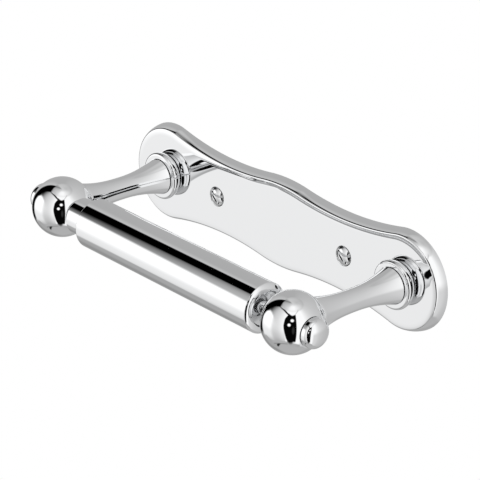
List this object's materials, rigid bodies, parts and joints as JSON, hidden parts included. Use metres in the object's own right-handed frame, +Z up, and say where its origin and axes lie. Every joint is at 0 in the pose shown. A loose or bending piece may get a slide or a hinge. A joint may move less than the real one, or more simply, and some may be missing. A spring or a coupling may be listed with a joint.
{
  "type": "toilet roll holder",
  "caption": "Wall-mounted toilet roll holder in polished chrome: shaped back plate, turned arms with beaded collars, ball ends with finials and a sprung telescoping roller.",
  "frame": {"origin": "middle of the back plate's flat back face, which lies on the wall", "axes": "+X along the roller towards its dished end, +Y into the wall, +Z up; the arms reach out along -Y"},
  "size_m": [0.1956, 0.1051, 0.0454],
  "materials": {
    "polished_chrome": "mirror-polished chrome plate",
    "roller_chrome": "mirror-polished chrome plate on drawn tube",
    "plug_chrome": "turned and chrome plated, slightly softer shine",
    "screw_chrome": "chrome-plated raised head",
    "zinc_steel": "zinc-plated steel",
    "spring_steel": "plain drawn spring wire"
  },
  "bodies": {
    "holder": {"back_plate": "polished_chrome", "wall_screw_left": "screw_chrome", "wall_screw_right": "screw_chrome", "base_collar_left": "polished_chrome", "base_collar_right": "polished_chrome", "arm_left": "polished_chrome", "arm_right": "polished_chrome", "arm_screw_left": "zinc_steel", "arm_screw_right": "zinc_steel", "arm_lock_washer_left": "zinc_steel", "arm_lock_washer_right": "zinc_steel", "ball_left": "polished_chrome", "ball_right": "polished_chrome", "finial_left": "polished_chrome", "finial_right": "polished_chrome"},
    "roller_inner_half": {"roller_inner_tube": "roller_chrome", "roller_inner_plug": "plug_chrome", "roller_spring": "spring_steel"},
    "roller_outer_half": {"roller_outer_tube": "roller_chrome", "roller_outer_plug": "plug_chrome"}
  },
  "joints": [
    {"name": "roller_spin", "type": "hinge", "parent": "holder", "child": "roller_inner_half", "pos_m": [0, -0.0667, 0], "axis": [1, 0, 0], "continuous": true},
    {"name": "roller_compress", "type": "slide", "parent": "roller_inner_half", "child": "roller_outer_half", "axis": [1, 0, 0], "range_m": [-0.008, 0], "stiffness_N_per_m": 566, "springref_m": 0.0106, "deforming": ["roller_spring"]}
  ]
}
